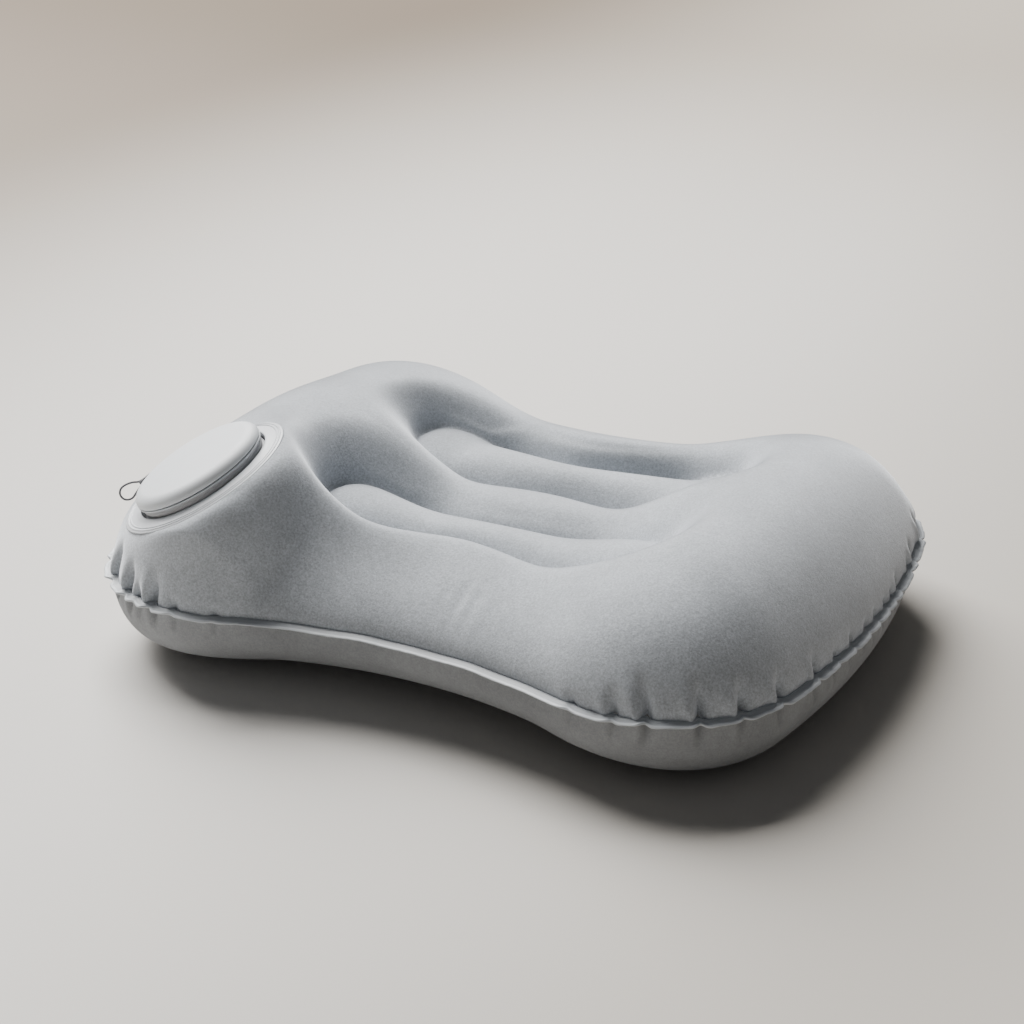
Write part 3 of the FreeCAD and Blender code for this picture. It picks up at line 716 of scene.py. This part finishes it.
# ---- Pull loop: the same route as in the model, in metres ----
CORD_ROUTE = (
    (-0.1792, -0.0811, 0.0897),
    (-0.1854, -0.0874, 0.0856),
    (-0.1902, -0.0937, 0.0801),
    (-0.1943, -0.0964, 0.0804),
    (-0.1986, -0.1004, 0.0781),
    (-0.1987, -0.1026, 0.0745),
    (-0.1956, -0.1025, 0.0715),
    (-0.1918, -0.1001, 0.0719),
    (-0.1907, -0.0973, 0.0752),
    (-0.1890, -0.0935, 0.0792),
    (-0.1841, -0.0872, 0.0847),
    (-0.1781, -0.0811, 0.0885),
)
CORD_DIAMETER = 0.0012


def make_pull_loop():
    """Cord loop of the release plug, along the route of the model."""
    curve = bpy.data.curves.new("pull_cord", "CURVE")
    curve.dimensions = "3D"
    spline = curve.splines.new("NURBS")
    spline.points.add(len(CORD_ROUTE) - 1)
    for point, place in zip(spline.points, CORD_ROUTE):
        point.co = (*place, 1.0)
    spline.order_u = 3
    spline.use_endpoint_u = True
    spline.resolution_u = 12
    curve.bevel_depth = 0.5 * CORD_DIAMETER
    curve.bevel_resolution = 4
    piece = bpy.data.objects.new("pull_cord", curve)
    bpy.context.collection.objects.link(piece)
    finish_piece(piece, CORD, "cord", "plug", "pull_loop")


make_pull_loop()


# ---- Flocked sheets ----
def outside_pump(points):
    """True where a point of the upper sheet lies outside the pump's hole and the port's."""
    outside = np.ones(len(points), bool)
    for centre, radius in ((PUMP_CENTRE, PUMP_HOLE), (PORT_PLACE, PORT_HOLE)):
        offset = points - centre
        height = offset @ PUMP_AXIS
        from_axis = np.linalg.norm(offset - height[:, None] * PUMP_AXIS, axis=1)
        outside &= (from_axis > radius) | (np.abs(height) > HOLE_REACH)
    return outside


def anywhere(points):
    return np.ones(len(points), bool)


UPPER_GRID = (150, 1100)            # rings and spokes
LOWER_GRID = (90, 1000)


def make_sheets():
    """Upper and lower flocked sheets."""
    x, y, r, turn = polar_grid(*UPPER_GRID)
    z = soft_upper_height(x, y, r) - waist_folds(x, y, r)
    x, y, z = pucker(x, y, z, r, turn, 1.3, 1.0)
    upper = round_sheet("upper_sheet", x, y, z, outside_pump, False)
    finish_piece(upper, FLOCK, "flocked_sheet", "pillow", "upper_shell")
    x, y, r, turn = polar_grid(*LOWER_GRID)
    x, y, z = pucker(x, y, lower_height(x, r), r, turn, 1.2, 0.6)
    lower = round_sheet("lower_sheet", x, y, z, anywhere, True)
    # The darker flock on the lower sheet is painted shade.
    finish_piece(lower, SHADED_UNDER_FLOCK, "flocked_sheet", "pillow", "lower_shell")


# ---- Hem: section points outwards from the weld line (distance, half thickness) ----
HEM_SECTION = (
    (-1.0, 0.18),
    (0.4, 0.26),
    (0.9, 0.42),
    (1.4, 0.24),
    (3.8, 0.22),
    (4.4, 0.36),
    (5.0, 0.38),
    (5.5, 0.24),
)
HEM_STATIONS = 2000
HEM_DROOP = math.radians(14.0)      # the free hem hangs down by this much


def make_hem():
    """Welded hem: its section carried round the outline, waved and drooping."""
    stations = np.arange(HEM_STATIONS) / HEM_STATIONS * PERIMETER
    turn = np.interp(stations, OUTLINE_ARCS, OUTLINE_TURNS)
    edge = plan_radius(turn)
    normal_x, normal_y = outward_at(turn)
    pull, held = pleat_waves(turn, np.zeros_like(turn))
    rise = hem_rise(turn)
    waves = crinkle(turn)
    loop = [(out, half) for out, half in HEM_SECTION] + [(5.65, 0.0)]
    loop += [(out, -half) for out, half in reversed(HEM_SECTION)]
    rows = []
    for out, half in loop:
        reach = (out - 0.12 * held * max(out, 0.0)) * (1.0 + 0.05 * waves) - 0.4 * pull
        free = max(out, 0.0) / 5.5
        level = rise * (1.0 + 0.5 * free) + 0.9 * waves * free ** 1.5 + half * (1.0 + 0.7 * held)
        hang = max(out - 0.8, 0.0)
        reach = reach - hang * (1.0 - math.cos(HEM_DROOP)) + half * math.sin(HEM_DROOP) * free
        level = level - hang * math.sin(HEM_DROOP)
        x = edge * np.cos(turn) + normal_x * reach
        y = edge * np.sin(turn) + normal_y * reach
        rows.append(np.stack([x, y, level], -1))
    points = np.concatenate(rows)
    hem = new_piece("welded_hem", points, ring_faces(len(loop), HEM_STATIONS, closed=True).tolist())
    finish_piece(hem, HEM, "welded_hem", "pillow", "perimeter_weld")
    hem.data.materials.append(HEM_EDGE)
    bright = {0, 1, len(loop) - 3, len(loop) - 4, 4, 5, 6, 7, 8, 9, 10}
    for face in hem.data.polygons:
        face.material_index = 1 if face.index // HEM_STATIONS in bright else 0


# ---- Tie webs inside the pillow ----
WEB_HALF_LENGTH = 86.0
WEB_THICKNESS = 0.6
WEB_CLEAR = 2.8


def make_web(node, side, inner):
    """Tie strip between the sheets, under the edge of a rib."""
    x = CRADLE_MIDDLE + np.linspace(-WEB_HALF_LENGTH, WEB_HALF_LENGTH, 90)
    place, half = leaf_line(x)
    half = half * np.sqrt(1.0 - (np.abs(x - CRADLE_MIDDLE) / LEAF_LENGTH) ** 6)
    y = side * (place - half if inner else place + half)
    r = np.hypot(x, y) / plan_radius(np.arctan2(y, x))
    top = soft_upper_height(x, y, r) - WEB_CLEAR
    bottom = lower_height(x, r) + WEB_CLEAR
    slope = np.gradient(y, x)
    length = np.hypot(slope, 1.0)
    rows = []
    for level in np.linspace(0.0, 1.0, 12):
        sway = 0.5 * np.sin(x / 7.0) * math.sin(math.pi * level)
        z = bottom + (top - bottom) * level
        rows.append((x - slope / length * sway, y + sway / length, z, slope / length, 1.0 / length))
    points = []
    for turned in (1.0, -1.0):
        for px, py, pz, nx, ny in rows[::int(turned)]:
            shift = 0.5 * WEB_THICKNESS * turned
            points.append(np.stack([px - nx * shift, py + ny * shift, pz], -1))
    count = len(points)
    index = np.arange(count * len(x)).reshape(count, len(x))
    around = np.roll(index, -1, axis=0)
    quads = np.stack([index[:, :-1], index[:, 1:], around[:, 1:], around[:, :-1]], -1)
    quads = quads.reshape(-1, 4)
    ends = [index[:, 0].tolist(), index[::-1, -1].tolist()]
    web = new_piece(node.replace("web", "tie"), np.concatenate(points), quads.tolist() + ends)
    finish_piece(web, WEB, "tie_web", "pillow", node)


def make_webs():
    for word, side in (("front", -1.0), ("rear", 1.0)):
        make_web(f"{word}_inner_web", side, True)
        make_web(f"{word}_outer_web", side, False)


# ---- Turned pump pieces: (radius, height over the sheet) round the pump axis ----
def lathe(name, profile, segments=384):
    """Closed turned piece; a profile that starts on the axis also ends on it."""
    turns = np.arange(segments) * (2.0 * math.pi / segments)
    ring = np.cos(turns)[:, None] * OUTBOARD + np.sin(turns)[:, None] * ASIDE
    solid = profile[0][0] == 0.0
    rows = profile[1:-1] if solid else profile
    points = [PUMP_CENTRE + PUMP_AXIS * height + ring * radius for radius, height in rows]
    faces = ring_faces(len(rows), segments, closed=not solid).tolist()
    points = np.concatenate(points)
    if solid:
        low, high = len(points), len(points) + 1
        ends = [PUMP_CENTRE + PUMP_AXIS * profile[0][1], PUMP_CENTRE + PUMP_AXIS * profile[-1][1]]
        points = np.vstack([points, ends])
        last = (len(rows) - 1) * segments
        for step in range(segments):
            beyond = (step + 1) % segments
            faces.append([low, step, beyond])
            faces.append([high, last + beyond, last + step])
    piece = new_piece(name, points, faces)
    work = bmesh.new()
    work.from_mesh(piece.data)
    bmesh.ops.recalc_face_normals(work, faces=work.faces)
    work.to_mesh(piece.data)
    work.free()
    return piece


def arc_points(centre, radii, start, end, steps=8):
    """Points of an elliptic arc in a profile, angles in degrees from the outward direction."""
    turns = np.radians(np.linspace(start, end, steps))
    return [(centre[0] + radii[0] * math.cos(t), centre[1] + radii[1] * math.sin(t)) for t in turns]


def bead_points(radius, level, half, rise):
    """Small raised weld line across a profile that runs outwards."""
    return [(radius - half * math.cos(t), level + rise * math.sin(t))
            for t in np.linspace(0.0, math.pi, 7)]


def make_collar():
    """Collar round the pump with its two raised weld lines and the hole of the port."""
    profile = [(40.55, 0.2), (40.55, 1.38), (39.15, 1.38), (39.05, 1.6), (39.2, 1.85), (39.7, 1.95)]
    profile += [(40.6, 1.85), (41.8, 1.5), (42.8, 1.3)]
    profile += [(44.0, 1.15), (45.3, 1.0)] + bead_points(46.0, 0.95, 0.42, 0.42) + [(46.6, 0.85)]
    profile += bead_points(47.7, 0.72, 0.4, 0.36)
    profile += [(48.4, 0.5), (49.1, 0.28), (49.6, 0.02), (49.4, -0.2), (44.0, 0.1)]
    collar = lathe("pump_collar", profile, 512)
    cutter = turned_cutter()
    cut = collar.modifiers.new("port hole", "BOOLEAN")
    cut.operation = "DIFFERENCE"
    cut.solver = "EXACT"
    cut.object = cutter
    apply_modifiers(collar)
    bpy.data.objects.remove(cutter)
    finish_piece(collar, COLLAR, "collar_plastic", "pillow", "pump_weld_ring")


def turned_cutter():
    """Cylinder along the pump's axis that cuts the hole of the port."""
    work = bmesh.new()
    bmesh.ops.create_cone(work, cap_ends=True, segments=64, radius1=PORT_CUT * MM,
                          radius2=PORT_CUT * MM, depth=8.0 * MM)
    mesh = bpy.data.meshes.new("cutter")
    work.to_mesh(mesh)
    work.free()
    cutter = bpy.data.objects.new("cutter", mesh)
    bpy.context.collection.objects.link(cutter)
    cutter.location = Vector(PORT_PLACE) * MM + Vector((0.0, 0.0, WELD * MM))
    cutter.rotation_euler = Vector(PUMP_AXIS).to_track_quat("Z", "Y").to_euler()
    return cutter


def apply_modifiers(piece):
    bpy.context.view_layer.update()
    graph = bpy.context.evaluated_depsgraph_get()
    mesh = bpy.data.meshes.new_from_object(piece.evaluated_get(graph), depsgraph=graph)
    piece.modifiers.clear()
    piece.data = mesh


CAP_TOP = 13.5


def make_cap():
    """Domed press pad, hollow from below."""
    profile = [(0.0, 12.0), (20.0, 11.6), (32.8, 10.6), (33.0, 10.2), (33.0, 3.75), (33.2, 3.6),
               (34.0, 3.6), (34.2, 3.75), (34.2, 10.1), (35.2, 9.8), (36.6, 8.6), (36.8, 6.6)]
    profile += arc_points((37.95, 6.85), (0.45, 0.45), -120.0, 0.0, 6)
    profile += arc_points((31.0, 6.95), (7.4, 5.2), 2.0, 83.0, 26)
    for radius in (30.0, 27.0, 22.0, 15.0, 8.0, 3.0):
        profile.append((radius, CAP_TOP - 1.35 * (radius / 31.2) ** 2))
    profile.append((0.0, CAP_TOP))
    cap = lathe("press_cap", profile, 384)
    finish_piece(cap, CAP, "cap_plastic", "press_pad", "pump_cap")


def make_lip():
    """Ring under the edge of the pad."""
    profile = [(34.3, 4.85), (37.7, 4.85)]
    profile += arc_points((37.9, 5.36), (0.5, 0.5), -80.0, 80.0, 10)
    profile += [(34.3, 5.87)]
    lip = lathe("cap_lip", profile, 384)
    finish_piece(lip, CAP, "cap_plastic", "press_pad", "cap_ring")


def make_gaiter():
    """Folded flexible wall between the pad and the cup."""
    low, high, folds = -9.9, 4.7, 5
    outer, inner = [], []
    for step in range(folds * 12 + 1):
        share = step / (folds * 12)
        level = low + (high - low) * share
        wave = (0.85 - 0.6 * ramp(share, (0.6, 0.8))) * math.cos(2.0 * math.pi * folds * share)
        outer.append((36.9 + wave, level))
        inner.append((36.4 + wave, level))
    gaiter = lathe("pump_gaiter", outer + inner[::-1], 192)
    finish_piece(gaiter, GAITER, "soft_grey", "pillow", "pump_bellows")
    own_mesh(gaiter)


def make_foam():
    """Foam ring that pushes the pad back up."""
    low, high, inner, outer, edge = -24.2, 4.05, 12.0, 32.0, 2.0
    profile = arc_points((outer - edge, low + edge), (edge, edge), -90.0, 0.0, 5)
    for level in np.linspace(low + 4.0, high - 4.0, 14):
        profile.append((outer + 0.15 * math.sin(level), level))
    profile += arc_points((outer - edge, high - edge), (edge, edge), 0.0, 90.0, 5)
    profile += arc_points((inner + edge, high - edge), (edge, edge), 90.0, 180.0, 5)
    profile += arc_points((inner + edge, low + edge), (edge, edge), 180.0, 270.0, 5)
    foam = lathe("pump_sponge", profile, 160)
    finish_piece(foam, FOAM, "foam", "pillow", "pump_foam")
    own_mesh(foam)


def finish_nodes():
    """Materials of the model's own pieces that stay as they are."""
    finishes = {
        "pump_base": MOULDED, "outlet_cage": MOULDED, "intake_plate": MOULDED,
        "release_port": COLLAR, "release_plug": CAP, "plug_seal": RUBBER,
        "intake_flap": RUBBER, "outlet_flap": RUBBER, "loop_crimp": CORD,
    }
    for node, material in finishes.items():
        for slot in frame["nodes"][node].material_slots:
            slot.material = material


make_sheets()
make_hem()
make_webs()
make_collar()
make_cap()
make_lip()
make_gaiter()
make_foam()
finish_nodes()
